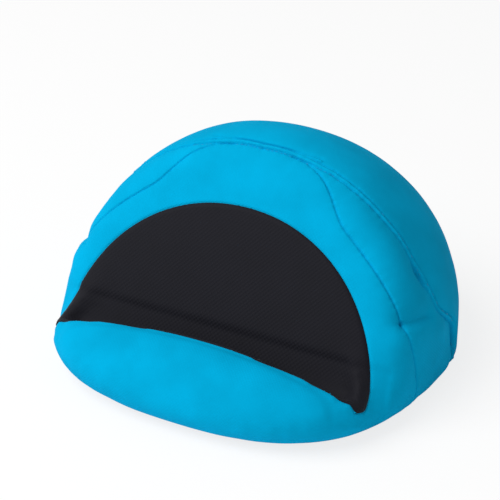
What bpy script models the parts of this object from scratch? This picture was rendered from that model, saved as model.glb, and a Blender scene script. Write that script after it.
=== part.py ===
"""Tablet cushion stand: a sealed, bead-filled cloth bag that a tablet leans on.

Metres, +Z up. The origin is on the ground, in the middle of the footprint.
The tablet faces -Y: it stands in a slot between a low front lip and the
leaning face of the dome behind it. The bag is symmetric left to right.
"""
from math import asin, atan2, cos, degrees, exp, pi, radians, sin, sqrt, tan

import bmesh
import bpy
from mathutils import Vector

# Driving dimensions: the bag as it stands on a table
BAG_WIDTH = 0.2556
BAG_DEPTH = 0.254
BAG_HEIGHT = 0.148
WAIST_HEIGHT_FRONT = 0.021  # height of the widest line of the bag
WAIST_HEIGHT_REAR = 0.0105
DOME_CENTRE_HEIGHT = 0.024  # the dome is half an ellipsoid above this height
WAIST_SQUARENESS = 2.82     # 2 is an ellipse seen from above, more is squarer
FOOT_SQUARENESS = 2.02
DOME_SQUARENESS = 2.25
REAR_SQUARENESS = 2.36
FOOT_MARGIN_FRONT = 0.0255  # the flat foot is this much inside the waist
FOOT_MARGIN_REAR = 0.0094
FOOT_SEAM_HEIGHT = 0.006
SIDES_START = radians(55.0)  # from this azimuth to the next the front form becomes the rear one
SIDES_END = radians(95.0)
DOME_ROUNDING = radians(45.0)  # over this elevation the outline takes the dome's squareness

# Driving dimensions: the slot for the tablet, the lip and the leaning face
LEAN = radians(29.2)        # the tablet leans back by this from upright
SLOT_WIDTH = 0.0096         # clear width on the panel; a tablet is about 9 mm thick
SLOT_FLOOR_HEIGHT = 0.0215
SLOT_SETBACK = 0.044        # from the front of the bag to the middle of the slot
LIP_RISE = 0.0226           # top of the lip above the slot's floor, along the slope
LIP_HALF_SPAN = 0.119       # the lip has run out at this distance from the middle
LIP_CREST = 0.0085          # thickness of the lip's rounded top
LIP_FULLNESS = 0.68         # how slowly the lip falls towards its ends
EDGE_SHARPNESS = 10.0       # how tightly the dome turns into the leaning face
SLOT_END_SHARPNESS = 45.0   # how tightly the slot turns out at the sides

# Driving dimensions: sewn lines and folds on each side
SEAM_DEPTH = 0.0022
SEAM_HALF_WIDTH = 0.0045
SEAM_TOP = radians(62.0)    # elevation, seen from the dome's centre, where seams fade
FRONT_SEAM_FOOT = radians(74.6)
FRONT_SEAM_SLANT = radians(3.6)  # azimuth that a seam loses from its foot to its top
REAR_SEAM_FOOT = radians(100.3)
REAR_SEAM_SLANT = radians(12.8)
SEAM_TURN_LOW = radians(4.0)     # between these two elevations a seam leans the most
SEAM_TURN_HIGH = radians(16.0)
SEAM_TURN_SHARE = 0.65
SEAM_STRAIGHT = radians(45.0)    # above this elevation the seams run straight to the top
TUCK_ELEVATION = radians(29.0)
TUCK_DEPTH = 0.004          # the cloth is tucked in where the rear seam meets the face
TUCK_SIZE = 0.012

# Driving dimensions: the dark grip panel sewn into the seat
PANEL_THICKNESS = 0.0012
PANEL_GAP = 0.0003
PANEL_HALF_WIDTH = 0.106
PANEL_REACH = 0.064         # how far the panel runs behind the slot, seen from above
PANEL_LAP = 0.8             # share of the lip's rounded top that the panel covers
PANEL_ARCH = 0.45           # lower is a fuller arch at the panel's rear edge
PANEL_UNDERCUT = radians(20.0)  # the cut at the panel's front edge leans to clear the slot's wall
PANEL_CUT_BASE = 0.019      # the cut starts at this height, under the slot's floor
OUTLINE_STEPS = 22          # pieces of the panel's front edge and of its rear edge

COLOUR_CLOTH = (0.002, 0.342, 0.600, 1.0)
COLOUR_GRIP = (0.003, 0.003, 0.006, 1.0)

FRONT = -BAG_DEPTH / 2
SLOT_Y = FRONT + SLOT_SETBACK
SLOT_HALF = SLOT_WIDTH / 2 + PANEL_THICKNESS + PANEL_GAP
UP_SLOPE = Vector((0.0, sin(LEAN), cos(LEAN)))
OFF_SLOPE = Vector((0.0, -cos(LEAN), sin(LEAN)))
SLOT_FLOOR = Vector((0.0, SLOT_Y, SLOT_FLOOR_HEIGHT))
DOME_CENTRE = Vector((0.0, 0.0, DOME_CENTRE_HEIGHT))

WELD_DISTANCE = 0.00001

# Rings of the cage below the waist, as shares of the plan outline and height
FOOT_RINGS = (0.42, 0.78)
# Rings of the lip between the waist and its top, as angles of a quarter turn
LOBE_ANGLES = (radians(64.0), radians(39.0), radians(17.0))
# Elevations of the rings on the leaning face, from the slot to the top
FACE_ELEVATIONS = [radians(a) for a in (3.7, 16, 31, 46, 60, 72, 82)]
# Columns between the seams, as azimuths from the front
FRONT_COLUMNS = [radians(a) for a in (0, 9.5, 19, 28, 36, 43, 48.5, 53, 58, 63, 69)]
SIDE_COLUMNS = 1
REAR_COLUMNS = 5
# The slot form gives way to the plain dome between these azimuths
SLOT_FULL = radians(53.0)
SLOT_NONE = radians(68.0)


def smooth(share):
    """Ease from 0 to 1."""
    share = min(max(share, 0.0), 1.0)
    return share * share * (3.0 - 2.0 * share)


def direction(azimuth, elevation):
    """Unit vector from the dome's centre; azimuth 0 is the front, 90 is +X."""
    return Vector((cos(elevation) * sin(azimuth), -cos(elevation) * cos(azimuth), sin(elevation)))


def blend(start, end, share):
    return start + (end - start) * share


def rear_share(azimuth):
    """0 at the front of the bag, 1 from its sides to its rear."""
    return smooth((azimuth - SIDES_START) / (SIDES_END - SIDES_START))


def waist_height(azimuth):
    return blend(WAIST_HEIGHT_FRONT, WAIST_HEIGHT_REAR, rear_share(azimuth))


def plan_radius(azimuth, squareness):
    """Radius of an outline seen from above, a squarish circle at the front."""
    power = blend(squareness, REAR_SQUARENESS, rear_share(abs(azimuth)))
    across = abs(sin(azimuth)) / (BAG_WIDTH / 2)
    along = abs(cos(azimuth)) / (BAG_DEPTH / 2)
    return (across ** power + along ** power) ** (-1.0 / power)


def soft_least(first, second, sharpness):
    """The smaller of two radii, with the corner between them rounded."""
    ratio = min(first, second) / max(first, second)
    return min(first, second) * (1.0 + ratio ** sharpness) ** (-1.0 / sharpness)


def dome_point(azimuth, elevation):
    """Point of the dome, cut by the leaning face."""
    way = direction(azimuth, elevation)
    squareness = blend(WAIST_SQUARENESS, DOME_SQUARENESS, smooth(elevation / DOME_ROUNDING))
    flat = cos(elevation) / plan_radius(azimuth, squareness)
    rise = sin(elevation) / (BAG_HEIGHT - DOME_CENTRE_HEIGHT)
    reach = 1.0 / sqrt(flat * flat + rise * rise)
    facing = way.dot(OFF_SLOPE)
    if facing > 0.0:
        face_base = SLOT_FLOOR - OFF_SLOPE * SLOT_HALF
        reach = soft_least(reach, (face_base - DOME_CENTRE).dot(OFF_SLOPE) / facing, EDGE_SHARPNESS)
    return DOME_CENTRE + way * reach


def outline_point(azimuth, squareness, inset, height):
    """Point of a level outline, set in from the full size of the bag."""
    radius = plan_radius(azimuth, squareness) - inset
    return Vector((radius * sin(azimuth), -radius * cos(azimuth), height))


def lip_fall(x):
    """Height of the lip at x as a share of its height in the middle."""
    return max(1.0 - (x / LIP_HALF_SPAN) ** 2, 0.0) ** LIP_FULLNESS


def inside_waist(point):
    """Pull a point of the slot back inside the outline of the bag."""
    azimuth = atan2(point.x, -point.y)
    radius = sqrt(point.x ** 2 + point.y ** 2)
    share = soft_least(radius, plan_radius(azimuth, WAIST_SQUARENESS), SLOT_END_SHARPNESS) / radius
    return Vector((point.x * share, point.y * share, point.z))


def slot_section(x, rise_share, off_slot):
    """Point of the lip or the slot at x: share of the lip's rise, distance off the middle."""
    fall = lip_fall(x)
    up = rise_share * fall * LIP_RISE
    off = off_slot
    if off_slot > SLOT_HALF:
        off = SLOT_HALF + (off_slot - SLOT_HALF) * sqrt(fall)
    point = SLOT_FLOOR + UP_SLOPE * up + OFF_SLOPE * off
    point.x = x
    return point


def slot_point(azimuth, rise_share, off_slot):
    """Point of the lip or the slot in the column at an azimuth, kept inside the bag."""
    return inside_waist(slot_section(-SLOT_Y * tan(azimuth), rise_share, off_slot))


def lobe_point(azimuth, angle):
    """Point of the lip's outer side, a quarter ellipse from its top to the waist."""
    top = slot_point(azimuth, *slot_profile()[0])
    waist = outline_point(azimuth, WAIST_SQUARENESS, 0.0, waist_height(azimuth))
    point = top.lerp(waist, sin(angle))
    point.z = waist.z + (top.z - waist.z) * cos(angle)
    return point


def foot_profile(azimuth):
    """Rings from the flat foot to the waist: share of the foot's margin and height."""
    drop = waist_height(azimuth) - FOOT_SEAM_HEIGHT
    return (
        (1.0, 0.0),
        (0.42, FOOT_SEAM_HEIGHT * 0.45),
        (0.24, FOOT_SEAM_HEIGHT),
        (0.06, FOOT_SEAM_HEIGHT + drop * 0.4),
        (0.0, waist_height(azimuth)),
    )


def slot_profile():
    """Rings from the lip's top to the slot's floor: share of the rise, distance off."""
    return (
        (0.93, SLOT_HALF + LIP_CREST),
        (1.02, SLOT_HALF + LIP_CREST * 0.4),
        (0.90, SLOT_HALF + LIP_CREST * 0.05),
        (0.42, SLOT_HALF),
        (0.04, SLOT_HALF * 0.85),
        (0.0, -SLOT_HALF * 0.6),
    )


def columns():
    """Azimuths of one side's columns at the foot, and how far each one slants."""
    spread = SEAM_HALF_WIDTH / (BAG_WIDTH / 2)
    found = [(a, FRONT_SEAM_SLANT * smooth(a / FRONT_SEAM_FOOT)) for a in FRONT_COLUMNS]
    found += [(FRONT_SEAM_FOOT + step * spread, FRONT_SEAM_SLANT) for step in (-1, 0, 1)]
    gap = REAR_SEAM_FOOT - FRONT_SEAM_FOOT
    for step in range(SIDE_COLUMNS):
        share = (step + 1) / (SIDE_COLUMNS + 1)
        slant = FRONT_SEAM_SLANT + (REAR_SEAM_SLANT - FRONT_SEAM_SLANT) * share
        found.append((FRONT_SEAM_FOOT + gap * share, slant))
    found += [(REAR_SEAM_FOOT + step * spread, REAR_SEAM_SLANT) for step in (-1, 0, 1)]
    for step in range(REAR_COLUMNS):
        share = (step + 1) / REAR_COLUMNS
        found.append((REAR_SEAM_FOOT + (pi - REAR_SEAM_FOOT) * share, REAR_SEAM_SLANT * (1 - share)))
    return found


def cage_point(ring, ring_count, foot_azimuth, slant):
    """Place one vertex of the cage from its ring and its column."""
    foot = foot_profile(foot_azimuth)
    slot = slot_profile()
    waist_ring = len(FOOT_RINGS) + len(foot)
    dome_rings = ring_count - waist_ring
    if ring <= len(FOOT_RINGS):
        return outline_point(foot_azimuth, FOOT_SQUARENESS, 0.0, 0.0) * FOOT_RINGS[ring - 1]
    if ring <= waist_ring:
        margin_share, height = foot[ring - len(FOOT_RINGS) - 1]
        margin = blend(FOOT_MARGIN_FRONT, FOOT_MARGIN_REAR, rear_share(foot_azimuth)) * margin_share
        squareness = blend(WAIST_SQUARENESS, FOOT_SQUARENESS, margin_share)
        return outline_point(foot_azimuth, squareness, margin, height)
    step = ring - waist_ring
    elevation = (pi / 2) * step / dome_rings
    weight = 1.0 - smooth((foot_azimuth - SLOT_FULL) / (SLOT_NONE - SLOT_FULL))
    if weight > 0.0:
        if step > len(LOBE_ANGLES) + len(slot):
            shaped_elevation = FACE_ELEVATIONS[step - len(LOBE_ANGLES) - len(slot) - 1]
        else:
            if step <= len(LOBE_ANGLES):
                shaped = lobe_point(foot_azimuth, LOBE_ANGLES[step - 1])
            else:
                shaped = slot_point(foot_azimuth, *slot[step - len(LOBE_ANGLES) - 1])
            if weight == 1.0:
                return shaped
            shaped_elevation = atan2(shaped.z - DOME_CENTRE_HEIGHT, sqrt(shaped.x ** 2 + shaped.y ** 2))
        elevation = blend(elevation, shaped_elevation, weight)
    return dome_point(slanted(foot_azimuth, slant, elevation), elevation)


def slanted(foot_azimuth, slant, elevation):
    """Azimuth of a column at an elevation."""
    turn = smooth((elevation - SEAM_TURN_LOW) / (SEAM_TURN_HIGH - SEAM_TURN_LOW))
    rise = min(max(elevation, 0.0), SEAM_STRAIGHT) / SEAM_STRAIGHT
    return foot_azimuth - slant * blend(rise, turn, SEAM_TURN_SHARE)


def seam_share(elevation):
    """Depth of a side seam at an elevation, fading out near the top."""
    return 1.0 - smooth((elevation - SEAM_TOP * 0.6) / (SEAM_TOP * 0.4))


def new_object(name, mesh, collection, material):
    obj = bpy.data.objects.new(name, mesh)
    collection.objects.link(obj)
    obj.data.materials.append(material)
    return obj


def new_material(name, colour, roughness):
    material = bpy.data.materials.new(name)
    material.use_nodes = True
    shader = material.node_tree.nodes["Principled BSDF"]
    shader.inputs["Base Color"].default_value = colour
    shader.inputs["Roughness"].default_value = roughness
    shader.inputs["Metallic"].default_value = 0.0
    return material


def build_cage():
    """A sphere primitive whose vertices are moved to the rings and columns of the bag."""
    side = columns()
    ring_count = len(FOOT_RINGS) + len(foot_profile(0.0)) + len(LOBE_ANGLES)
    ring_count += len(slot_profile()) + len(FACE_ELEVATIONS) + 1
    last = len(side) - 1
    cage = bmesh.new()
    bmesh.ops.create_uvsphere(cage, u_segments=2 * last, v_segments=ring_count, radius=1.0)
    seam_columns = (len(FRONT_COLUMNS) + 1, len(FRONT_COLUMNS) + SIDE_COLUMNS + 4)
    tuck = dome_point(slanted(REAR_SEAM_FOOT, REAR_SEAM_SLANT, TUCK_ELEVATION), TUCK_ELEVATION)
    for vertex in cage.verts:
        ring = round((asin(max(min(vertex.co.z, 1.0), -1.0)) + pi / 2) / pi * ring_count)
        if ring == 0:
            vertex.co = Vector((0.0, 0.0, 0.0))
            continue
        if ring == ring_count:
            vertex.co = dome_point(0.0, pi / 2)
            continue
        turn = degrees(atan2(vertex.co.x, -vertex.co.y)) / 360.0 * 2 * last
        column = abs(round(turn))
        mirror = -1.0 if turn < -0.25 and column != last else 1.0
        foot_azimuth, slant = side[column]
        place = cage_point(ring, ring_count, foot_azimuth, slant)
        outward = Vector((place.x, place.y, max(place.z - DOME_CENTRE_HEIGHT, 0.0))).normalized()
        sink = TUCK_DEPTH * exp(-((place - tuck).length / TUCK_SIZE) ** 2)
        if column in seam_columns and ring > len(FOOT_RINGS) + 1:
            sink += SEAM_DEPTH * seam_share(asin(outward.z))
        place -= outward * sink
        place.x *= mirror
        vertex.co = place
    return cage


def remove_everything():
    for obj in list(bpy.data.objects):
        bpy.data.objects.remove(obj, do_unlink=True)


def build_bag(collection, material):
    cage = build_cage()
    mesh = bpy.data.meshes.new("cushion_bag")
    cage.to_mesh(mesh)
    cage.free()
    bag = new_object("cushion_bag", mesh, collection, material)
    mesh.shade_smooth()
    skin = bag.modifiers.new("skin", "SUBSURF")
    skin.levels = 1
    skin.render_levels = 1
    facets = bag.modifiers.new("facets", "TRIANGULATE")
    facets.quad_method = "SHORTEST_DIAGONAL"
    return bag


def seat_outline(collection):
    """Cutter: an upright block with the panel's outline seen from above."""
    curve = bpy.data.curves.new("seat_outline", "CURVE")
    curve.dimensions = "2D"
    curve.fill_mode = "BOTH"
    curve.extrude = BAG_HEIGHT / 2
    shares = [-1.0 + 2.0 * i / OUTLINE_STEPS for i in range(OUTLINE_STEPS + 1)]
    front = [panel_front_point(share) for share in shares]
    rear = [panel_rear_point(-share) for share in shares[1:-1]]
    spline = curve.splines.new("POLY")
    spline.points.add(len(front + rear) - 1)
    spline.use_cyclic_u = True
    for point, (x, y) in zip(spline.points, front + rear):
        point.co = (x, y, 0.0, 1.0)
    outline = bpy.data.objects.new("seat_outline", curve)
    outline.location.z = BAG_HEIGHT / 2 + PANEL_CUT_BASE
    collection.objects.link(outline)
    bpy.context.view_layer.update()
    evaluated = outline.evaluated_get(bpy.context.evaluated_depsgraph_get())
    mesh = bpy.data.meshes.new_from_object(evaluated)
    weld = bmesh.new()
    weld.from_mesh(mesh)
    bmesh.ops.remove_doubles(weld, verts=weld.verts, dist=WELD_DISTANCE)
    for vertex in weld.verts:
        if vertex.co.y < SLOT_Y + SLOT_HALF:
            crest = panel_front_edge(vertex.co.x).z - outline.location.z
            vertex.co.y += (vertex.co.z - crest) * tan(PANEL_UNDERCUT) * lip_fall(vertex.co.x)
    weld.to_mesh(mesh)
    weld.free()
    cutter = bpy.data.objects.new("seat_cutter", mesh)
    cutter.matrix_world = outline.matrix_world
    collection.objects.link(cutter)
    bpy.data.objects.remove(outline, do_unlink=True)
    cutter.hide_render = True
    cutter.display_type = "WIRE"
    return cutter


def panel_front_edge(x):
    """Front edge of the panel, along the lip's top."""
    return slot_section(x, 1.0, SLOT_HALF + LIP_CREST * PANEL_LAP)


def panel_front_point(share):
    """The front edge seen from above, for -1 to 1 across the panel."""
    edge = panel_front_edge(share * PANEL_HALF_WIDTH)
    return edge.x, edge.y


def panel_rear_point(share):
    """Rear edge of the panel, an arch up the leaning face."""
    end_x, end_y = panel_front_point(1.0)
    return share * end_x, end_y + PANEL_REACH * max(1.0 - share * share, 0.0) ** PANEL_ARCH


def grown_copy(bag, name, offset, collection):
    """The bag's skin moved outwards by an offset, as a mesh of its own."""
    evaluated = bag.evaluated_get(bpy.context.evaluated_depsgraph_get())
    mesh = bpy.data.meshes.new_from_object(evaluated)
    mesh.name = name
    normals = [vertex.normal.copy() for vertex in mesh.vertices]
    for vertex, normal in zip(mesh.vertices, normals):
        vertex.co += normal * offset
    obj = bpy.data.objects.new(name, mesh)
    collection.objects.link(obj)
    return obj


def build_seat_panel(bag, collection, cutters, material):
    """The grip panel: a layer over the bag's own skin, cut to the panel's outline."""
    bpy.context.view_layer.update()
    panel = grown_copy(bag, "seat_panel", PANEL_GAP + PANEL_THICKNESS, collection)
    inner = grown_copy(bag, "seat_inner", PANEL_GAP, cutters)
    inner.hide_render = True
    inner.display_type = "WIRE"
    outline = seat_outline(cutters)
    panel.data.materials.clear()
    panel.data.materials.append(material)
    for cutter, operation in ((outline, "INTERSECT"), (inner, "DIFFERENCE")):
        cut = panel.modifiers.new(cutter.name, "BOOLEAN")
        cut.operation = operation
        cut.object = cutter
    return panel


def main():
    remove_everything()
    parts = bpy.data.collections.new("tablet_cushion_stand")
    bpy.context.scene.collection.children.link(parts)
    cutters = bpy.data.collections.new("cutters")
    bpy.context.scene.collection.children.link(cutters)
    cloth = new_material("blue_cotton_cloth", COLOUR_CLOTH, 0.8)
    grip = new_material("black_grip_cloth", COLOUR_GRIP, 0.9)
    bag = build_bag(parts, cloth)
    build_seat_panel(bag, parts, cutters, grip)


main()
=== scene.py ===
"""Tablet cushion stand: cloth cover, grip panel, seams and studio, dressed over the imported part.

Metres, +Z up. The origin is on the ground, in the middle of the footprint, and the slot's long way
is X; its lip is toward -Y. Each operator sews one piece or group of pieces, and the last one sets
the stage. The file has the layout of an add-on and is run as a script.
"""

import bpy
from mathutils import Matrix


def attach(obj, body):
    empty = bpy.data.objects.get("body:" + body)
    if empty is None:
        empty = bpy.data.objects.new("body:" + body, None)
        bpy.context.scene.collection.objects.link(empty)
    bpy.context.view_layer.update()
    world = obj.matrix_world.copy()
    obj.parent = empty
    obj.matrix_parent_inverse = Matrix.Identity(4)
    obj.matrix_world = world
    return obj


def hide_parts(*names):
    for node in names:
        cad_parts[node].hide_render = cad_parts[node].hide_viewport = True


bl_info = {
    "name": "Tablet Cushion Stand",
    "version": (1, 0, 0),
    "blender": (4, 5, 0),
    "location": "View3D > Sidebar > Cushion Stand",
    "description": "Sews the cover, grip panel and stitches of a tablet cushion stand",
    "category": "Object",
}

from math import cos, pi, radians, sin

import bmesh
import bpy
import numpy as np
from bpy.props import (
    FloatProperty, FloatVectorProperty, IntProperty, PointerProperty, StringProperty)
from bpy.types import Operator, Panel, PropertyGroup
from mathutils import Matrix, Vector, noise
from mathutils.bvhtree import BVHTree
from mathutils.kdtree import KDTree

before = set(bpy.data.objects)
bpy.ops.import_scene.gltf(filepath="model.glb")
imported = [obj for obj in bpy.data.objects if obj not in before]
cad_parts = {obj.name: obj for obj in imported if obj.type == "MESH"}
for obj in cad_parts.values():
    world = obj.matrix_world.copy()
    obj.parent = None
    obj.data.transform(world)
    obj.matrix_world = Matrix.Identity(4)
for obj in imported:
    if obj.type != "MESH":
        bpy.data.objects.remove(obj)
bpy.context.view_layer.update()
MM = 0.001

# The bag as its solid is drawn: the dome's centre, and the slope that the slot and the face share
DOME_CENTRE = Vector((0.0, 0.0, 24.0 * MM))
CLEAR_OF_BAG = 0.3               # a distance from the dome's centre that is well outside the bag
LEAN = radians(29.2)
UP_SLOPE = np.array((0.0, sin(LEAN), cos(LEAN)))
OFF_SLOPE = np.array((0.0, -cos(LEAN), sin(LEAN)))
SLOT_FLOOR = np.array((0.0, -83.0, 21.5)) * MM
SLOT_HALF = 6.3 * MM
LIP_HALF_SPAN = 119.0 * MM
LIP_FULLNESS = 0.68

# The seat is the slot with the lip's crest. Each pair is an edge and the width over which it fades:
# off the slot's middle, up from its floor, and down from its floor
SEAT_SPREAD = (19.0 * MM, 4.0 * MM)
SEAT_HEIGHT = (34.0 * MM, 6.0 * MM)
SEAT_DEPTH = (-6.0 * MM, 4.0 * MM)

# The grip panel: how far it laps over the lip, its ends, and the arch of its rear edge
PANEL_LAP = 5.4 * MM
PANEL_HALF_WIDTH = 110.5 * MM
PANEL_END_SHARPNESS = 12
PANEL_END_Y = -80.7 * MM
PANEL_END_LIFT = 5.0 * MM
PANEL_REACH = 56.5 * MM
PANEL_ARCH = 0.45
PANEL_UNDER_FLOOR = 1.0 * MM     # so that the outline clears the slot's floor
PANEL_EDGE_RISE = 0.3 * MM       # its edge above the cover
PANEL_CROWN = 1.5                # its middle above the sunk cover, in thicknesses
BORDER_SLOPE = 2.5 * MM          # over which the cover sinks and the panel rises from their border
BORDER_VALLEY = (0.8 * MM, 0.9 * MM)

# Side seams: azimuth at the foot, azimuth lost to the top, and the elevations where they turn
FRONT_SEAM = (radians(74.6), radians(2.8))
REAR_SEAM = (radians(100.3), radians(12.8))
SEAM_TURN = (radians(4.0), radians(16.0))
SEAM_TURN_SHARE = 0.65
SEAM_STRAIGHT = radians(45.0)
SEAM_SPAN = (radians(-9.0), radians(90.0))
SEAMS_MEET = (radians(50.0), radians(80.0))  # the front seam bends back to the rear one over these
SAMPLE_STEP = 0.5 * MM           # between the points of a sewn line

# Relief of the seams. A form is its height or depth and the half width over which it fades, an edge
# is its place and the width over which it fades, and a span is the middle and the half height of a
# stretch of a seam, as elevations
SEAM_REACH = 40.0 * MM           # how far from a line its relief is worked out
FRONT_SEAM_REACH = 30.0 * MM
FRONT_VALLEY = (0.35 * MM, 3.5 * MM)
FRONT_HEM = (1.0 * MM, 5.0 * MM)
FRONT_HEM_EDGE = (radians(5.0), radians(7.0))
FRONT_PIT = (2.4 * MM, 1.6 * MM)
STRIP_WIDTH = 3.4 * MM           # between the two sewn lines of a rear seam
STRIP_EDGES = ((0.3 * MM, 0.9 * MM), (STRIP_WIDTH, 0.7 * MM))
SECOND_LINE_HALF_WIDTH = 0.7 * MM
REAR_VALLEY = (0.5 * MM, 6.0 * MM)
TUCK_SPAN = (radians(26.5), radians(3.6))    # the tuck near the top of a rear seam
TUCK_RIDGE = (0.9 * MM, 1.8 * MM)
TUCK_RIDGE_PLACE = 2.4 * MM      # places are measured rearward from the seam's first line
TUCK_FOLD_PLACE = -1.2 * MM
TUCK_FOLD_HALF_WIDTH = 2.0 * MM
GAP_SPAN = (radians(1.6), radians(4.4))      # the fold at the lower end of a rear seam
GAP_FADES = (radians(2.0), radians(2.5))     # at its lower and its upper end
GAP_HALF_WIDTH = 1.0 * MM
SWELL_HALF_HEIGHT = radians(8.0)
SWELL = (2.4 * MM, 7.0 * MM)     # the cloth behind the gap stands out
SWELL_PLACE = 5.0 * MM
SWELL_START = 1.2 * MM
HEEL_SPAN = (radians(-7.0), radians(4.5))
HEEL = (1.7 * MM, 18.0 * MM)     # the full corner of the bag under the gap
PUCKER = (0.14 * MM, 4.0 * MM)
PUCKER_DRIFT = ((1.4, 0.37), (0.8, 0.19))    # slow waves that keep the gathers from being even
FOOT_SEAM_HEIGHT = 6.0 * MM
FOOT_SEAM_SHARE = 0.8            # of the depth of the other seams
FOOT_SEAM_HALF_WIDTH = 0.8 * MM

# The crease from the top of the front seam back to the rear seam, as azimuth and elevation in degrees
CREASE = ((72.5, 18.2), (76.9, 17.3), (82.2, 16.3), (89.9, 14.4))
CREASE_DEPTH = 2.3 * MM
CREASE_UPPER_WIDTH = 7.0 * MM
CREASE_LOWER_WIDTH = 3.5 * MM
CREASE_LINE = (0.7 * MM, 1.3 * MM)
CREASE_END = (3.0 * MM, 9.0 * MM)            # it fades out before it reaches the rear seam
CREASE_SWELL = (1.5 * MM, 8.0 * MM)
CREASE_SWELL_PLACE = 9.0 * MM                # under the crease
CREASE_SWELL_END = 6.0 * MM

# The filling and the settling; a hold is an edge and the width over which it fades
FILLING_LUMP = 34.0 * MM
FILLING_EDGE = (2.0 * MM, 6.0 * MM)          # height over the ground where the filling begins to show
SEAT_FIRMNESS = 0.85                         # how little the first smoothing moves the seat
SMOOTHING_STEPS = (0.50, -0.52)              # in and out again, so that the form keeps its size
FOOT_HOLD = (6.0 * MM, 3.0 * MM)
SEAM_HOLD = 3.0 * MM
SEAM_HOLD_REACH = 8.0 * MM
FACE_HOLD = (4.0 * MM, 2.0 * MM)
FACE_HOLD_SHARE = 0.5
AVERAGING_PASSES = 4

# Reach of each halving of the faces, round the seams and outlines and round the foot seam
DETAIL_REACHES = ((5.0 * MM, 3.0 * MM), (2.0 * MM, 0.0))
OUTLINE_SNAP = 0.25 * MM         # vertices this near the panel's outline are moved onto it
LEAST_STEEPNESS = 0.2            # of the outline's field, so that none of them is moved far
SLOPE_STEP = 0.1 * MM            # over which that field's slope is taken
STITCH_PLACE = 0.8               # share of the strip's width
STITCH_RISE = 0.2                # of the thread's width

# Yarn colours with painted shade between the threads and painted light on their tops, as shares of the
# cloth's colour
THREAD_GAP_SHADE = 0.86
THREAD_TOP_LIGHT = 1.08

# The stage
FLOOR_HALF_WIDTH = 6.0
LAMP_AIM = Vector((0.0, 0.0, 60.0 * MM))
FLOOR_GLOW = 0.80                # share of plain white in the floor as the camera sees it


class CushionSizes(PropertyGroup):
    """Sizes of the cloth work."""

    voxel: FloatProperty(
        name="Voxel", description="Grain of the remeshed cover",
        default=4.5 * MM, subtype="DISTANCE", unit="LENGTH")
    pressure: FloatProperty(
        name="Pressure", description="Pressure of the filling while the cover settles", default=4.0)
    slack: FloatProperty(
        name="Slack", description="Share by which the cloth is longer than the bag it covers",
        default=0.002)
    start_inset: FloatProperty(
        name="Start Inset", description="How much smaller the cover is before it settles",
        default=0.8 * MM, subtype="DISTANCE", unit="LENGTH")
    settle_frames: IntProperty(
        name="Settle Frames", description="Frames that the cover is given to settle", default=20)
    swell_limit: FloatProperty(
        name="Swell Limit", description="Furthest that the settling cloth may move",
        default=1.6 * MM, subtype="DISTANCE", unit="LENGTH")
    fullness: FloatProperty(
        name="Fullness", description="How far the packed filling holds the cloth out, all over",
        default=1.2 * MM, subtype="DISTANCE", unit="LENGTH")
    unevenness: FloatProperty(
        name="Unevenness", description="How far the loose filling stands out of true",
        default=0.35 * MM, subtype="DISTANCE", unit="LENGTH")
    seam_depth: FloatProperty(
        name="Seam Depth", description="Depth of a sewn line below the cloth beside it",
        default=1.2 * MM, subtype="DISTANCE", unit="LENGTH")
    seam_half_width: FloatProperty(
        name="Seam Half Width", description="Half width of the valley at a sewn line",
        default=0.65 * MM, subtype="DISTANCE", unit="LENGTH")
    strip_rise: FloatProperty(
        name="Strip Rise", description="How far the folded strip of a rear seam stands up",
        default=0.5 * MM, subtype="DISTANCE", unit="LENGTH")
    tuck_depth: FloatProperty(
        name="Tuck Depth", description="Depth of the tuck near the top of a rear seam",
        default=3.0 * MM, subtype="DISTANCE", unit="LENGTH")
    gap_depth: FloatProperty(
        name="Gap Depth", description="Depth of the fold at the lower end of a rear seam",
        default=3.2 * MM, subtype="DISTANCE", unit="LENGTH")
    pucker_pitch: FloatProperty(
        name="Pucker Pitch", description="Spacing of the small gathers along a seam",
        default=7.0 * MM, subtype="DISTANCE", unit="LENGTH")
    panel_thickness: FloatProperty(
        name="Panel Thickness", description="Thickness of the grip cloth",
        default=0.9 * MM, subtype="DISTANCE", unit="LENGTH")
    stitch_pitch: FloatProperty(
        name="Stitch Pitch", description="Spacing of the stitches",
        default=3.2 * MM, subtype="DISTANCE", unit="LENGTH")
    stitch_length: FloatProperty(
        name="Stitch Length", description="Length of one stitch",
        default=2.4 * MM, subtype="DISTANCE", unit="LENGTH")
    thread_width: FloatProperty(
        name="Thread Width", description="Thickness of the sewing thread",
        default=0.5 * MM, subtype="DISTANCE", unit="LENGTH")


class CushionColours(PropertyGroup):
    """Colours of the cloth and the stage, as sRGB hex values."""

    cloth: StringProperty(name="Cloth", description="Blue cotton cloth", default="#00A6D5")
    grip: StringProperty(name="Grip", description="Black grip cloth", default="#121219")
    thread: StringProperty(name="Thread", description="Sewing thread of the cover", default="#0093C4")
    floor: StringProperty(name="Floor", description="Pale studio floor", default="#FFFFFF")


class StageSizes(PropertyGroup):
    """Camera and lights of the studio."""

    camera_place: FloatVectorProperty(
        name="Camera Place", description="Where the camera stands", size=3,
        default=(0.4249, -0.8265, 0.5780), subtype="TRANSLATION", unit="LENGTH")
    camera_turn: FloatVectorProperty(
        name="Camera Turn", description="Rotation of the camera", size=3,
        default=(radians(61.27), 0.0, radians(27.71)), subtype="EULER", unit="ROTATION")
    lens: FloatProperty(
        name="Lens", description="Focal length on a 36 mm sensor, in mm", default=116.7)
    key_place: FloatVectorProperty(
        name="Key Place", description="Where the key lamp hangs", size=3,
        default=(-0.90, -1.00, 1.70), subtype="TRANSLATION", unit="LENGTH")
    key_size: FloatProperty(
        name="Key Size", description="Side of the key lamp's square soft box",
        default=1.8, subtype="DISTANCE", unit="LENGTH")
    key_power: FloatProperty(
        name="Key Power", description="Power of the key lamp", default=45.0, unit="POWER")
    ambient: FloatProperty(
        name="Ambient", description="Strength of the light from all round", default=0.33)


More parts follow.
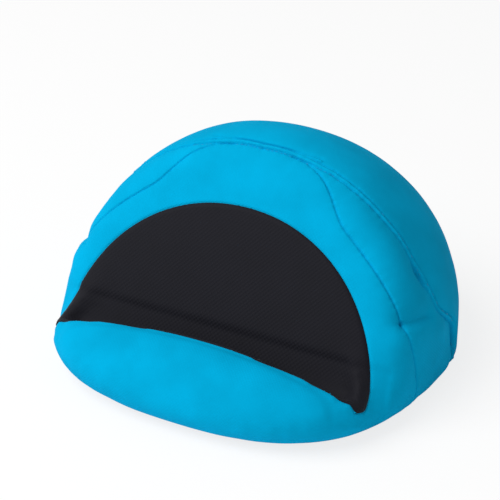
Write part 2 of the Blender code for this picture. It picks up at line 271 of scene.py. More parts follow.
def linear_colour(text):
    """An sRGB hex value as linear RGBA."""
    parts = [int(text[i:i + 2], 16) / 255 for i in (1, 3, 5)]
    return tuple(c / 12.92 if c <= 0.04045 else ((c + 0.055) / 1.055) ** 2.4 for c in parts) + (1.0,)


def new_object(name, data):
    obj = bpy.data.objects.new(name, data)
    bpy.context.scene.collection.objects.link(obj)
    return obj


def read_points(mesh):
    points = np.empty(len(mesh.vertices) * 3)
    mesh.vertices.foreach_get("co", points)
    return points.reshape(-1, 3)


def read_normals(mesh):
    normals = np.empty(len(mesh.vertices) * 3)
    mesh.vertices.foreach_get("normal", normals)
    return normals.reshape(-1, 3)


def write_points(mesh, points):
    mesh.vertices.foreach_set("co", points.astype(np.float32).ravel())
    mesh.update()


def apply_modifiers(obj):
    """Keep what the modifiers make, and take them off."""
    evaluated = obj.evaluated_get(bpy.context.evaluated_depsgraph_get())
    made = bpy.data.meshes.new_from_object(evaluated)
    obj.modifiers.clear()
    obj.data = made


def remeshed_copy(node, name, voxel):
    """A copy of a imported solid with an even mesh."""
    obj = new_object(name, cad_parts[node].data.copy())
    obj.data.materials.clear()
    remesh = obj.modifiers.new("even mesh", "REMESH")
    remesh.mode = "VOXEL"
    remesh.voxel_size = voxel
    apply_modifiers(obj)
    return obj


def direction(azimuth, elevation):
    """Unit vector from the dome's centre; azimuth 0 is the front, 90 is +X."""
    return Vector((cos(elevation) * sin(azimuth), -cos(elevation) * cos(azimuth), sin(elevation)))


def smooth(share):
    """Ease from 0 to 1."""
    share = np.clip(share, 0.0, 1.0)
    return share * share * (3.0 - 2.0 * share)


def bell(distance, width):
    """1 on the line, fading out on both sides of it."""
    return np.exp(-((distance / width) ** 2))


def ridge(distance, size):
    """A rounded ridge along a line, or a valley if taken away; size is its height and half width."""
    height, width = size
    return height * bell(distance, width)


def below(value, edge, fade):
    """1 under an edge, easing to 0 at it."""
    return smooth((edge - value) / fade)


def above(value, edge, fade):
    """0 up to an edge, easing to 1 past it."""
    return smooth((value - edge) / fade)


def seam_azimuth(seam, elevation):
    """Azimuth of a side seam at an elevation."""
    foot, slant = seam
    turn = above(elevation, SEAM_TURN[0], SEAM_TURN[1] - SEAM_TURN[0])
    rise = np.clip(elevation, 0.0, SEAM_STRAIGHT) / SEAM_STRAIGHT
    return foot - slant * (rise + (turn - rise) * SEAM_TURN_SHARE)


class SewnLine:
    """A line on the cover, with even points and the way across it at each of them."""

    def __init__(self, surface, points):
        line = np.array([tuple(point) for point in points])
        lengths = np.linalg.norm(np.diff(line, axis=0), axis=1)
        along = np.concatenate([[0.0], np.cumsum(lengths)])
        marks = np.arange(0.0, along[-1], SAMPLE_STEP)
        self.points = np.stack([np.interp(marks, along, line[:, axis]) for axis in range(3)], axis=1)
        self.outward = np.array([tuple(surface.find_nearest(Vector(p))[1]) for p in self.points])
        self.tangent = np.gradient(self.points, axis=0)
        self.tangent /= np.linalg.norm(self.tangent, axis=1, keepdims=True)
        self.across = np.cross(self.outward, self.tangent)
        self.tree = tree_of(self.points)

    def measure(self, points, reach):
        """For each point, along the cloth: distance, signed distance across, and length along.

        A point out of reach gets a distance of 1 m. Height over the line doesn't count.
        """
        distance = np.ones(len(points))
        across = np.ones(len(points))
        along = np.zeros(len(points))
        low = self.points.min(axis=0) - reach
        high = self.points.max(axis=0) + reach
        near = np.nonzero(np.all((points > low) & (points < high), axis=1))[0]
        found = [self.tree.find(place) for place in points[near]]
        nearest = np.array([index for _, index, _ in found], dtype=int)
        within = np.array([gap for _, _, gap in found]) < reach
        near, nearest = near[within], nearest[within]
        offset = points[near] - self.points[nearest]
        lengthwise = np.sum(offset * self.tangent[nearest], axis=1)
        across[near] = np.sum(offset * self.across[nearest], axis=1)
        beyond = (nearest == 0) | (nearest == len(self.points) - 1)
        distance[near] = np.hypot(across[near], np.where(beyond, lengthwise, 0.0))
        along[near] = nearest * SAMPLE_STEP + lengthwise
        return distance, across, along


def tree_of(points):
    tree = KDTree(len(points))
    for index, place in enumerate(points):
        tree.insert(place, index)
    tree.balance()
    return tree


def surface_of(mesh):
    shape = bmesh.new()
    shape.from_mesh(mesh)
    surface = BVHTree.FromBMesh(shape)
    shape.free()
    return surface


def line_on(surface, ways):
    """The sewn line where the given ways out from the dome's centre leave the bag."""
    hits = [surface.ray_cast(DOME_CENTRE + way * CLEAR_OF_BAG, -way)[0] for way in ways]
    return SewnLine(surface, [hit for hit in hits if hit is not None])


def rear_azimuth(elevation):
    """Azimuth of a rear seam, which runs over the crown and down the other side."""
    crown = above(elevation, SEAM_STRAIGHT, SEAM_SPAN[1] - SEAM_STRAIGHT)
    side = seam_azimuth(REAR_SEAM, elevation)
    return side + (pi / 2 - side) * crown


def front_azimuth(elevation):
    """Azimuth of a front seam, which meets the rear seam near the crown."""
    start, end = SEAMS_MEET
    side = seam_azimuth(FRONT_SEAM, elevation)
    return side + (rear_azimuth(elevation) - side) * above(elevation, start, end - start)


def side_seam(surface, azimuth, side, top, steps=160):
    """A seam up one side of the bag; side is 1 on the right and -1 on the left."""
    ways = [direction(side * azimuth(e), e) for e in np.linspace(SEAM_SPAN[0], top, steps)]
    return line_on(surface, ways)


def crease_line(surface, side, steps=40):
    """The soft crease from the top of the front seam back to the rear seam."""
    azimuths, elevations = np.radians(CREASE).T
    marks = np.linspace(0.0, len(CREASE) - 1.0, steps)
    knots = np.arange(len(CREASE))
    places = zip(np.interp(marks, knots, azimuths), np.interp(marks, knots, elevations))
    return line_on(surface, [direction(side * azimuth, elevation) for azimuth, elevation in places])


class Neighbours:
    """The edges of a mesh, for averaging values between neighbouring vertices."""

    def __init__(self, mesh):
        ends = np.empty(len(mesh.edges) * 2, dtype=np.int32)
        mesh.edges.foreach_get("vertices", ends)
        self.first, self.second = ends.reshape(-1, 2).T
        self.count = np.bincount(ends, minlength=len(mesh.vertices))[:, None]

    def mean(self, values):
        total = np.zeros_like(values)
        np.add.at(total, self.first, values[self.second])
        np.add.at(total, self.second, values[self.first])
        return total / self.count


def slope_place(points):
    """Height up the slope from the slot's floor, and distance off the slot's middle."""
    from_floor = points - SLOT_FLOOR
    return from_floor @ UP_SLOPE, from_floor @ OFF_SLOPE


def in_seat(points):
    """1 in the slot and on the lip's crest, 0 on the rest of the bag."""
    up, off = slope_place(points)
    return below(np.abs(off), *SEAT_SPREAD) * below(up, *SEAT_HEIGHT) * above(up, *SEAT_DEPTH)


def seat_field(points):
    """Above 0 inside the outline of the grip panel and below 0 outside it, in about metres."""
    x, y = points[:, 0], points[:, 1]
    up, off = slope_place(points)
    fall = np.maximum(1.0 - (x / LIP_HALF_SPAN) ** 2, 0.0) ** LIP_FULLNESS
    share = np.abs(x / PANEL_HALF_WIDTH)
    end = np.sqrt(np.maximum(1.0 - share**PANEL_END_SHARPNESS, 0.0))
    front = (SLOT_HALF + PANEL_LAP * np.sqrt(fall)) * end - off
    reach = np.maximum((y - PANEL_END_Y) / PANEL_REACH, 0.0) ** (1.0 / PANEL_ARCH)
    rear = (1.0 - share**2 - reach) * PANEL_HALF_WIDTH / 2
    floor = up + PANEL_UNDER_FLOOR - PANEL_END_LIFT * share**PANEL_END_SHARPNESS
    return np.minimum(np.minimum(front, rear), floor)


def smoothed(mesh, loose, passes=12):
    """Even out the facets without shrinking the form: each step in is followed by one out."""
    beside = Neighbours(mesh)
    points = read_points(mesh)
    for _ in range(passes):
        for step in SMOOTHING_STEPS:
            points = points + (beside.mean(points) - points) * step * loose[:, None]
    points[:, 2] = np.maximum(points[:, 2], 0.0)
    return points


def held_share(points, seams):
    """How firmly each point is held while the cover settles: 1 on seams, foot and slot."""
    held = below(points[:, 2], *FOOT_HOLD)
    for seam in seams:
        held = np.maximum(held, bell(seam.measure(points, SEAM_HOLD_REACH)[0], SEAM_HOLD))
    off = slope_place(points)[1]
    on_face = below(np.abs(off + SLOT_HALF), *FACE_HOLD)
    return np.maximum(np.maximum(held, in_seat(points)), on_face * FACE_HOLD_SHARE)


def settle(cover, seams, sizes):
    """Let the filling press the cloth out between the lines that hold it."""
    start = read_points(cover.data)
    write_points(cover.data, start - read_normals(cover.data) * sizes.start_inset)
    hold = cover.vertex_groups.new(name="held")
    for index, share in enumerate(held_share(start, seams)):
        hold.add([index], float(share), "REPLACE")
    cloth = cover.modifiers.new("settling cloth", "CLOTH")
    cloth.collision_settings.use_collision = False
    cloth.point_cache.frame_start = 1
    cloth.point_cache.frame_end = sizes.settle_frames
    rules = cloth.settings
    rules.quality = 6
    rules.mass = 0.2
    rules.tension_stiffness = 20.0
    rules.compression_stiffness = 20.0
    rules.shear_stiffness = 8.0
    rules.bending_stiffness = 0.3
    rules.vertex_group_mass = "held"
    rules.use_pressure = True
    rules.uniform_pressure_force = sizes.pressure
    rules.shrink_min = -sizes.slack
    rules.effector_weights.gravity = 0.0
    for frame_number in range(1, sizes.settle_frames + 1):
        bpy.context.scene.frame_set(frame_number)
    apply_modifiers(cover)
    cover.vertex_groups.clear()
    moved = read_points(cover.data) - start
    beside = Neighbours(cover.data)
    for _ in range(AVERAGING_PASSES):
        moved = 0.5 * moved + 0.5 * beside.mean(moved)
    reach = np.linalg.norm(moved, axis=1, keepdims=True)
    limited = np.minimum(reach, sizes.swell_limit) / np.maximum(reach, 1e-9)
    settled = start + moved * limited
    settled[:, 2] = np.maximum(settled[:, 2], 0.0)
    write_points(cover.data, settled)


def refine(mesh, near):
    """Halve the faces whose corners are all near a line."""
    shape = bmesh.new()
    shape.from_mesh(mesh)
    edges = [e for e in shape.edges if near[e.verts[0].index] and near[e.verts[1].index]]
    bmesh.ops.subdivide_edges(shape, edges=edges, cuts=1, use_grid_fill=True)
    shape.to_mesh(mesh)
    shape.free()


def near_detail(mesh, front_seams, rear_seams, reach, foot_reach):
    """Which vertices lie near a seam, the panel's outline or the foot seam."""
    points = read_points(mesh)
    near = np.abs(seat_field(points)) < reach
    near |= np.abs(points[:, 2] - FOOT_SEAM_HEIGHT) < foot_reach
    for side in (1, -1):
        near |= front_seams[side].measure(points, 2.0 * reach)[0] < reach
        rearward = -side * rear_seams[side].measure(points, 2.0 * reach + STRIP_WIDTH)[1]
        near |= np.abs(rearward - STRIP_WIDTH / 2) < reach + STRIP_WIDTH / 2
    return near


def cut_panel_outline(mesh):
    """Cut the faces along the panel's outline and mark those inside it; returns the outline."""
    points = read_points(mesh)
    normals = read_normals(mesh)
    field = seat_field(points)
    changes = [seat_field(points + SLOPE_STEP * axis) - field for axis in np.eye(3)]
    slope = np.stack(changes, axis=1) / SLOPE_STEP
    slope -= normals * np.sum(slope * normals, axis=1, keepdims=True)
    steepness = np.maximum(np.linalg.norm(slope, axis=1), LEAST_STEEPNESS)
    close = np.abs(field / steepness) < OUTLINE_SNAP
    points[close] -= (slope * (field / steepness**2)[:, None])[close]
    write_points(mesh, points)
    field[close] = 0.0

    shape = bmesh.new()
    shape.from_mesh(mesh)
    crossed = []
    for face in shape.faces:
        values = [field[vertex.index] for vertex in face.verts]
        if min(values) <= 0.0 <= max(values):
            crossed.append(face)
    bmesh.ops.triangulate(shape, faces=crossed)
    outline = [vertex for vertex in shape.verts if close[vertex.index]]
    for edge in list(shape.edges):
        start, end = (field[vertex.index] for vertex in edge.verts)
        if start * end < 0.0:
            outline.append(bmesh.utils.edge_split(edge, edge.verts[0], start / (start - end))[1])
    bmesh.ops.connect_verts(shape, verts=outline)
    shape.verts.index_update()
    field = np.concatenate([field, np.zeros(len(shape.verts) - len(field))])
    under_panel = shape.faces.layers.int.new("under_panel")
    for face in shape.faces:
        face[under_panel] = int(sum(field[vertex.index] for vertex in face.verts) > 0.0)
    places = np.array([tuple(vertex.co) for vertex in outline])
    shape.to_mesh(mesh)
    shape.free()
    return places


def elevation_of(points):
    """Elevation seen from the dome's centre."""
    from_centre = points - np.array(DOME_CENTRE)
    return np.arcsin(from_centre[:, 2] / np.linalg.norm(from_centre, axis=1))


def pucker(distance, along, sizes):
    """Small gathers that run out from a line of stitches."""
    turn = 2.0 * pi * along / sizes.pucker_pitch
    drift = sum(size * np.sin(turn * pace) for size, pace in PUCKER_DRIFT)
    height, reach = PUCKER
    return height * np.sin(turn + drift) * np.exp(-np.abs(distance) / reach)


def front_seam_relief(seam, points, sizes):
    """A plain seam: one fine line in a soft valley, with a pit where the crease starts."""
    distance, _, along = seam.measure(points, FRONT_SEAM_REACH)
    relief = -sizes.seam_depth * bell(distance, sizes.seam_half_width)
    relief -= ridge(distance, FRONT_VALLEY)
    relief += pucker(distance, along, sizes)
    relief += ridge(distance, FRONT_HEM) * below(elevation_of(points), *FRONT_HEM_EDGE)
    top = np.argmin(np.abs(elevation_of(seam.points) - radians(CREASE[0][1])))
    to_top = np.linalg.norm(points - seam.points[top], axis=1)
    return relief - ridge(to_top, FRONT_PIT)


def rear_seam_relief(seam, side, points, sizes):
    """A felled seam: two fine lines with a strip between them, a tuck above and a fold below."""
    distance, across, along = seam.measure(points, SEAM_REACH)
    rearward = -side * across
    elevation = elevation_of(points)
    strip_start, strip_end = STRIP_EDGES
    strip = above(rearward, *strip_start) * below(rearward, *strip_end)
    relief = -sizes.seam_depth * bell(distance, sizes.seam_half_width)
    relief -= sizes.seam_depth * bell(rearward - STRIP_WIDTH, SECOND_LINE_HALF_WIDTH)
    relief += sizes.strip_rise * strip - ridge(distance, REAR_VALLEY)
    relief += pucker(distance, along, sizes)

    tuck = bell(elevation - TUCK_SPAN[0], TUCK_SPAN[1])
    fold = sizes.tuck_depth * bell(rearward - TUCK_FOLD_PLACE, TUCK_FOLD_HALF_WIDTH)
    relief += tuck * (ridge(rearward - TUCK_RIDGE_PLACE, TUCK_RIDGE) - fold)

    middle, reach = GAP_SPAN
    lower_fade, upper_fade = GAP_FADES
    gap = above(elevation, middle - reach, lower_fade) * below(elevation, middle + reach, upper_fade)
    relief -= gap * sizes.gap_depth * bell(rearward, GAP_HALF_WIDTH)
    swell = bell(elevation - middle, SWELL_HALF_HEIGHT) * above(rearward, 0.0, SWELL_START)
    relief += swell * ridge(rearward - SWELL_PLACE, SWELL)
    relief += bell(elevation - HEEL_SPAN[0], HEEL_SPAN[1]) * ridge(distance, HEEL)
    return relief


def crease_relief(crease, side, points):
    """The cloth turns in along the crease and swells a little under it."""
    distance, across, along = crease.measure(points, SEAM_REACH)
    upward = side * across
    dip = CREASE_DEPTH * bell(
        distance, np.where(upward > 0.0, CREASE_UPPER_WIDTH, CREASE_LOWER_WIDTH))
    dip += ridge(distance, CREASE_LINE)
    to_end = len(crease.points) * SAMPLE_STEP - along
    swell = ridge(upward + CREASE_SWELL_PLACE, CREASE_SWELL)
    swell *= bell(distance - np.abs(upward), CREASE_SWELL_END)
    return swell - dip * above(to_end, *CREASE_END)


def filling_relief(points, sizes):
    """Slow rises and dips of the loose filling, none in the seat or at the foot."""
    lumps = np.array([noise.noise(Vector(place) / FILLING_LUMP) for place in points])
    free = (1.0 - in_seat(points)) * above(points[:, 2], *FILLING_EDGE)
    return (sizes.fullness + sizes.unevenness * lumps) * free


class CUSHION_OT_cover(Operator):
    """Sew the blue cover over the bead filling"""

    bl_idname = "cushion.cover"
    bl_label = "Blue Cover"

    def execute(self, context):
        sizes = context.scene.cushion_sizes
        cover = remeshed_copy("cushion_bag", "blue_cover", sizes.voxel)
        loose = 1.0 - SEAT_FIRMNESS * in_seat(read_points(cover.data))
        write_points(cover.data, smoothed(cover.data, loose))
        surface = surface_of(cover.data)
        front_seams = {s: side_seam(surface, front_azimuth, s, SEAMS_MEET[1]) for s in (1, -1)}
        rear_seams = {s: side_seam(surface, rear_azimuth, s, SEAM_SPAN[1]) for s in (1, -1)}
        seams = list(front_seams.values()) + list(rear_seams.values())
        settle(cover, seams, sizes)
        skin = cover.modifiers.new("fine mesh", "SUBSURF")
        skin.levels = 1
        skin.render_levels = 1
        apply_modifiers(cover)
        for reach, foot_reach in DETAIL_REACHES:
            refine(cover.data, near_detail(cover.data, front_seams, rear_seams, reach, foot_reach))
        outline = cut_panel_outline(cover.data)

        points = read_points(cover.data)
        relief = filling_relief(points, sizes)
        for side in (1, -1):
            relief += front_seam_relief(front_seams[side], points, sizes)
            relief += rear_seam_relief(rear_seams[side], side, points, sizes)
            relief += crease_relief(crease_line(surface, side), side, points)
        foot = points[:, 2] - FOOT_SEAM_HEIGHT
        foot_valley = FOOT_SEAM_SHARE * sizes.seam_depth * bell(foot, FOOT_SEAM_HALF_WIDTH)
        relief -= foot_valley * (1.0 - in_seat(points))
        border = distance_to(points, outline)
        relief -= ridge(border, BORDER_VALLEY)
        under = np.where(seat_field(points) > 0.0, smooth(border / BORDER_SLOPE), 0.0)
        relief -= sizes.panel_thickness * under
        points += read_normals(cover.data) * relief[:, None]
        points[:, 2] = np.maximum(points[:, 2], 0.0)
        write_points(cover.data, points)

        cover.data.shade_smooth()
        cover.data.materials.append(blue_cloth())
        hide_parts("cushion_bag")
        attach(cover, "root")
        return {"FINISHED"}


def distance_to(points, line_points, reach=12.0 * MM):
    """Distance of each point to the nearest of some others, up to a reach."""
    tree = tree_of(line_points)
    low = line_points.min(axis=0) - reach
    high = line_points.max(axis=0) + reach
    near = np.nonzero(np.all((points > low) & (points < high), axis=1))[0]
    distance = np.full(len(points), reach)
    found = np.array([tree.find(place)[2] for place in points[near]])
    distance[near] = np.minimum(found, reach)
    return distance


def even_border(shape, passes=24, inside_passes=4):
    """Draw the cut edge of a sheet smooth, and ease the row inside it; returns the edge's points."""
    border = [vertex for vertex in shape.verts if vertex.is_boundary]
    beside = [[edge.other_vert(vertex).index for edge in vertex.link_edges if edge.is_boundary]
              for vertex in border]
    points = np.array([tuple(vertex.co) for vertex in shape.verts])
    on_border = [vertex.index for vertex in border]
    for _ in range(passes):
        middles = np.array([points[pair].mean(axis=0) for pair in beside])
        points[on_border] = 0.5 * points[on_border] + 0.5 * middles
    for vertex in border:
        vertex.co = points[vertex.index]
    inside = [vertex for vertex in shape.verts if not vertex.is_boundary
              and any(edge.other_vert(vertex).is_boundary for edge in vertex.link_edges)]
    for _ in range(inside_passes):
        bmesh.ops.smooth_vert(
            shape, verts=inside, factor=0.5, use_axis_x=True, use_axis_y=True, use_axis_z=True)
    return points[on_border]


class CUSHION_OT_grip_panel(Operator):
    """Lay the black grip panel into the slot and up the leaning face"""

    bl_idname = "cushion.grip_panel"
    bl_label = "Grip Panel"

    def execute(self, context):
        sizes = context.scene.cushion_sizes
        cover = bpy.data.objects["blue_cover"]
        panel = new_object("grip_panel", cover.data.copy())
        shape = bmesh.new()
        shape.from_mesh(panel.data)
        under_panel = shape.faces.layers.int["under_panel"]
        outside = [face for face in shape.faces if not face[under_panel]]
        bmesh.ops.delete(shape, geom=outside, context="FACES")
        shape.verts.index_update()
        edge = even_border(shape)
        shape.to_mesh(panel.data)
        shape.free()
        points = read_points(panel.data)
        from_edge = smooth(distance_to(points, edge) / BORDER_SLOPE)
        height = PANEL_CROWN * sizes.panel_thickness * from_edge + PANEL_EDGE_RISE
        write_points(panel.data, points + read_normals(panel.data) * height[:, None])
        body = panel.modifiers.new("cloth thickness", "SOLIDIFY")
        body.thickness = sizes.panel_thickness
        body.offset = -1.0
        apply_modifiers(panel)
        panel.data.shade_smooth()
        panel.data.materials.clear()
        panel.data.materials.append(grip_cloth())
        for piece in (panel, cover):
            piece.data.attributes.remove(piece.data.attributes["under_panel"])
        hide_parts("seat_panel")
        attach(panel, "root")
        return {"FINISHED"}


class CUSHION_OT_stitches(Operator):
    """Sew the stitches along the strips of the rear seams"""

    bl_idname = "cushion.stitches"
    bl_label = "Stitches"

    def execute(self, context):
        sizes = context.scene.cushion_sizes
        surface = surface_of(bpy.data.objects["blue_cover"].data)
        shape = bmesh.new()
        for side in (1, -1):
            seam = side_seam(surface, rear_azimuth, side, SEAM_SPAN[1])
            count = int(len(seam.points) * SAMPLE_STEP / sizes.stitch_pitch)
            for number in range(1, count):
                index = round(number * sizes.stitch_pitch / SAMPLE_STEP)
                rearward = -side * seam.across[index]
                place, outward, _, _ = surface.find_nearest(
                    Vector(seam.points[index] + rearward * STRIP_WIDTH * STITCH_PLACE))
                if place.z < FOOT_SEAM_HEIGHT:
                    continue
                along = Vector(seam.tangent[index])
                along = (along - outward * along.dot(outward)).normalized()
                turn = Matrix((along, outward.cross(along), outward)).transposed().to_4x4()
                grown = Matrix.Diagonal((
                    sizes.stitch_length / 2, sizes.thread_width / 2, sizes.thread_width / 2, 1.0))
                seat = Matrix.Translation(place + outward * sizes.thread_width * STITCH_RISE)
                bmesh.ops.create_uvsphere(
                    shape, u_segments=8, v_segments=6, radius=1.0, matrix=seat @ turn @ grown)
        mesh = bpy.data.meshes.new("seam_stitches")
        shape.to_mesh(mesh)
        shape.free()
        stitches = new_object("seam_stitches", mesh)
        mesh.shade_smooth()
        mesh.materials.append(sewing_thread())
        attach(stitches, "root")
        return {"FINISHED"}


class CUSHION_OT_stage(Operator):
    """Set the floor, lamps, world and camera"""

    bl_idname = "cushion.stage"
    bl_label = "Stage"

    def execute(self, context):
        stage = context.scene.cushion_stage
        lay_floor()
        light_world(context.scene, stage.ambient)
        hang_lamp("key_lamp", stage.key_place, stage.key_size, stage.key_power)
        data = bpy.data.cameras.new("camera")
        data.lens = stage.lens
        data.sensor_width = 36.0
        camera = new_object("camera", data)
        camera.location = stage.camera_place
        camera.rotation_euler = stage.camera_turn
        context.scene.camera = camera
        context.scene.view_settings.view_transform = "Standard"
        return {"FINISHED"}


def hang_lamp(name, place, size, power):
    """A square soft box that faces the middle of the cushion."""
    data = bpy.data.lights.new(name, "AREA")
    data.size = size
    data.energy = power
    lamp = new_object(name, data)
    lamp.location = place
    aim = LAMP_AIM - Vector(place)
    lamp.rotation_euler = aim.to_track_quat("-Z", "Y").to_euler()


def lay_floor():
    """A wide pale floor that keeps the cushion's shadow."""
    shape = bmesh.new()
    bmesh.ops.create_grid(shape, x_segments=1, y_segments=1, size=FLOOR_HALF_WIDTH)
    mesh = bpy.data.meshes.new("studio_floor")
    shape.to_mesh(mesh)
    shape.free()
    floor = new_object("studio_floor", mesh)
    mesh.materials.append(floor_paint())


def add_node(tree, kind, settings=None, **links):
    """Add one node with its settings; a link is an output socket, and any other value is set."""
    node = tree.nodes.new(kind)
    for name, value in (settings or {}).items():
        setattr(node, name, value)
    for name, value in links.items():
        key = int(name[1:]) if name[1:].isdigit() else name.replace("_", " ")
        socket = node.inputs[key]
        if isinstance(value, bpy.types.NodeSocket):
            tree.links.new(value, socket)
        else:
            socket.default_value = value
    return node


def seen_directly(tree):
    """1 where the camera, a reflection or a refraction looks, 0 for the light on the object."""
    path = add_node(tree, "ShaderNodeLightPath")
    glossy = add_node(
        tree, "ShaderNodeMath", {"operation": "MAXIMUM"},
        i0=path.outputs["Is Camera Ray"], i1=path.outputs["Is Glossy Ray"])
    return add_node(
        tree, "ShaderNodeMath", {"operation": "MAXIMUM"},
        i0=glossy.outputs[0], i1=path.outputs["Is Transmission Ray"]).outputs[0]


def light_world(scene, ambient):
    """Even light from all round; the camera sees plain white."""
    world = bpy.data.worlds.new("studio")
    scene.world = world
    world.use_nodes = True
    tree = world.node_tree
    tree.nodes.clear()
    white = linear_colour("#FFFFFF")
    soft = add_node(tree, "ShaderNodeBackground", Color=white, Strength=ambient)
    plain = add_node(tree, "ShaderNodeBackground", Color=white, Strength=1.0)
    mix = add_node(
        tree, "ShaderNodeMixShader",
        i0=seen_directly(tree), i1=soft.outputs[0], i2=plain.outputs[0])
    add_node(tree, "ShaderNodeOutputWorld", Surface=mix.outputs[0])


def new_material(name):
    material = bpy.data.materials.new(name)
    material.use_nodes = True
    material.node_tree.nodes.clear()
    return material


def floor_paint():
    """Matt white paint on a studio floor, sprayed: it shows only the soft shadow."""
    material = new_material("matt_white_paint")
    tree = material.node_tree
    colour = linear_colour(bpy.context.scene.cushion_colours.floor)
    paint = add_node(tree, "ShaderNodeBsdfDiffuse", Color=colour)
    glow = add_node(tree, "ShaderNodeEmission", Color=linear_colour("#FFFFFF"), Strength=1.0)
    share = add_node(
        tree, "ShaderNodeMath", {"operation": "MULTIPLY"}, i0=seen_directly(tree), i1=FLOOR_GLOW)
    mix = add_node(
        tree, "ShaderNodeMixShader", i0=share.outputs[0], i1=paint.outputs[0], i2=glow.outputs[0])
    add_node(tree, "ShaderNodeOutputMaterial", Surface=mix.outputs[0])
    return material


def woven(tree, spacing):
    """Height of a plain weave, -1 to 1, laid on each side of the piece by the way that it faces."""
    place = add_node(tree, "ShaderNodeTexCoord").outputs["Object"]
    turns = add_node(
        tree, "ShaderNodeVectorMath", {"operation": "SCALE"}, i0=place, Scale=pi / spacing)
    waves = add_node(tree, "ShaderNodeVectorMath", {"operation": "SINE"}, i0=turns.outputs[0])
    apart = add_node(tree, "ShaderNodeSeparateXYZ", Vector=waves.outputs[0]).outputs
    turned = add_node(tree, "ShaderNodeCombineXYZ", X=apart["Y"], Y=apart["Z"], Z=apart["X"])
    crossed = add_node(
        tree, "ShaderNodeVectorMath", {"operation": "MULTIPLY"},
        i0=waves.outputs[0], i1=turned.outputs[0])
    facing = add_node(tree, "ShaderNodeNewGeometry").outputs["Normal"]
    for _ in range(2):
        facing = add_node(
            tree, "ShaderNodeVectorMath", {"operation": "MULTIPLY"}, i0=facing, i1=facing).outputs[0]
    sides = add_node(tree, "ShaderNodeSeparateXYZ", Vector=facing).outputs
    shares = add_node(tree, "ShaderNodeCombineXYZ", X=sides["Z"], Y=sides["X"], Z=sides["Y"])
    return add_node(
        tree, "ShaderNodeVectorMath", {"operation": "DOT_PRODUCT"},
        i0=crossed.outputs[0], i1=shares.outputs[0]).outputs["Value"]


def mottled(tree, size):
    """Soft noise whose patches have a real size."""
    place = add_node(tree, "ShaderNodeTexCoord").outputs["Object"]
    patches = add_node(tree, "ShaderNodeTexNoise", Vector=place, Scale=1.0 / size, Detail=3.0)
    return patches.outputs[0]


def cloth_shader(tree, colour, weave, patches, depth, shading):
    """A matt cloth: yarn with painted shade between its threads and painted light on their tops, with
    the weave as bump.
    """
    dark = tuple(c * THREAD_GAP_SHADE for c in colour[:3]) + (1.0,)
    light = tuple(min(c * THREAD_TOP_LIGHT, 1.0) for c in colour[:3]) + (1.0,)
    # Painted shade where the weave is low and painted light where it is high
    threads = add_node(
        tree, "ShaderNodeMapRange", i0=weave, i1=-1.0, i2=1.0, i3=0.5 - shading, i4=0.5 + shading)
    blotches = add_node(tree, "ShaderNodeMapRange", i0=patches, i1=0.3, i2=0.7, i3=-0.3, i4=0.3)
    share = add_node(
        tree, "ShaderNodeMath", {"operation": "ADD", "use_clamp": True},
        i0=threads.outputs[0], i1=blotches.outputs[0])
    yarn = add_node(
        tree, "ShaderNodeMix", {"data_type": "RGBA"}, i0=share.outputs[0], i6=dark, i7=light)
    relief = add_node(tree, "ShaderNodeBump", Height=weave, Distance=depth, Strength=1.0)
    return add_node(
        tree, "ShaderNodeBsdfPrincipled", Base_Color=yarn.outputs[2], Normal=relief.outputs[0])


def blue_cloth():
    """Cotton canvas, woven and piece dyed: matt and even, softly brighter where it turns away."""
    material = new_material("woven_cotton_blue")
    tree = material.node_tree
    colour = linear_colour(bpy.context.scene.cushion_colours.cloth)
    # Threads of such cloth lie about 0.4 mm apart, too fine for the picture; drawn at 1.1 mm
    shader = cloth_shader(
        tree, colour, woven(tree, 1.1 * MM), mottled(tree, 26.0 * MM), depth=0.04 * MM, shading=0.16)
    shader.inputs["Roughness"].default_value = 0.92
    shader.inputs["Specular IOR Level"].default_value = 0.03
    shader.inputs["Sheen Weight"].default_value = 0.06
    shader.inputs["Sheen Roughness"].default_value = 0.5
    shader.inputs["Sheen Tint"].default_value = linear_colour("#08B4E6")
    add_node(tree, "ShaderNodeOutputMaterial", Surface=shader.outputs[0])
    return material


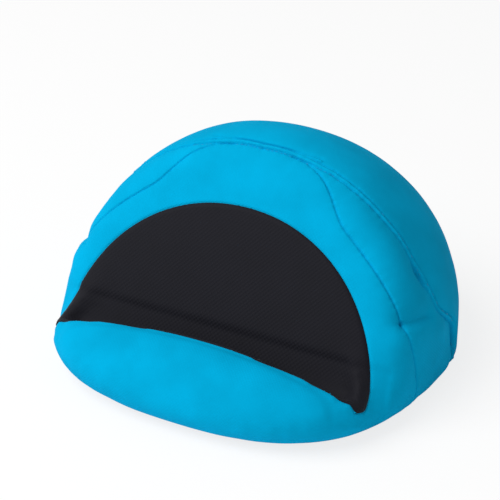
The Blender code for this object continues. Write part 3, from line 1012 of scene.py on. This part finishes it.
def grip_cloth():
    """Polyester grip cloth, knitted and brushed: near black and matt, with a faint grain."""
    material = new_material("knitted_grip_black")
    tree = material.node_tree
    colour = linear_colour(bpy.context.scene.cushion_colours.grip)
    # Loops of such cloth lie about 0.6 mm apart, too fine for the picture; drawn at 1.4 mm
    shader = cloth_shader(
        tree, colour, woven(tree, 1.4 * MM), mottled(tree, 18.0 * MM), depth=0.12 * MM, shading=0.40)
    shader.inputs["Roughness"].default_value = 0.70
    shader.inputs["Specular IOR Level"].default_value = 0.12
    shader.inputs["Sheen Weight"].default_value = 0.04
    shader.inputs["Sheen Roughness"].default_value = 0.4
    add_node(tree, "ShaderNodeOutputMaterial", Surface=shader.outputs[0])
    return material


def sewing_thread():
    """Spun polyester thread, dyed to match: a twisted yarn with a little more shine than the cloth."""
    material = new_material("spun_polyester_thread")
    tree = material.node_tree
    colour = linear_colour(bpy.context.scene.cushion_colours.thread)
    # The twist of such yarn repeats about every 0.7 mm
    shader = cloth_shader(
        tree, colour, woven(tree, 0.7 * MM), mottled(tree, 4.0 * MM), depth=0.05 * MM, shading=0.30)
    shader.inputs["Roughness"].default_value = 0.55
    shader.inputs["Specular IOR Level"].default_value = 0.25
    add_node(tree, "ShaderNodeOutputMaterial", Surface=shader.outputs[0])
    return material


class CUSHION_PT_tools(Panel):
    """Lists the pieces of the cushion stand."""

    bl_idname = "CUSHION_PT_tools"
    bl_label = "Cushion Stand"
    bl_space_type = "VIEW_3D"
    bl_region_type = "UI"
    bl_category = "Cushion Stand"

    def draw(self, context):
        layout = self.layout
        scene = context.scene
        for group in (scene.cushion_sizes, scene.cushion_colours, scene.cushion_stage):
            for name in group.__annotations__:
                layout.prop(group, name)
        for operator in OPERATORS:
            layout.operator(operator.bl_idname)


OPERATORS = (CUSHION_OT_cover, CUSHION_OT_grip_panel, CUSHION_OT_stitches, CUSHION_OT_stage)
CLASSES = (CushionSizes, CushionColours, StageSizes) + OPERATORS + (CUSHION_PT_tools,)


def register():
    for cls in CLASSES:
        bpy.utils.register_class(cls)
    bpy.types.Scene.cushion_sizes = PointerProperty(type=CushionSizes)
    bpy.types.Scene.cushion_colours = PointerProperty(type=CushionColours)
    bpy.types.Scene.cushion_stage = PointerProperty(type=StageSizes)


def unregister():
    del bpy.types.Scene.cushion_stage
    del bpy.types.Scene.cushion_colours
    del bpy.types.Scene.cushion_sizes
    for cls in reversed(CLASSES):
        bpy.utils.unregister_class(cls)


def main():
    register()
    bpy.ops.cushion.cover()
    bpy.ops.cushion.grip_panel()
    bpy.ops.cushion.stitches()
    bpy.ops.cushion.stage()


if __name__ == "__main__":
    main()
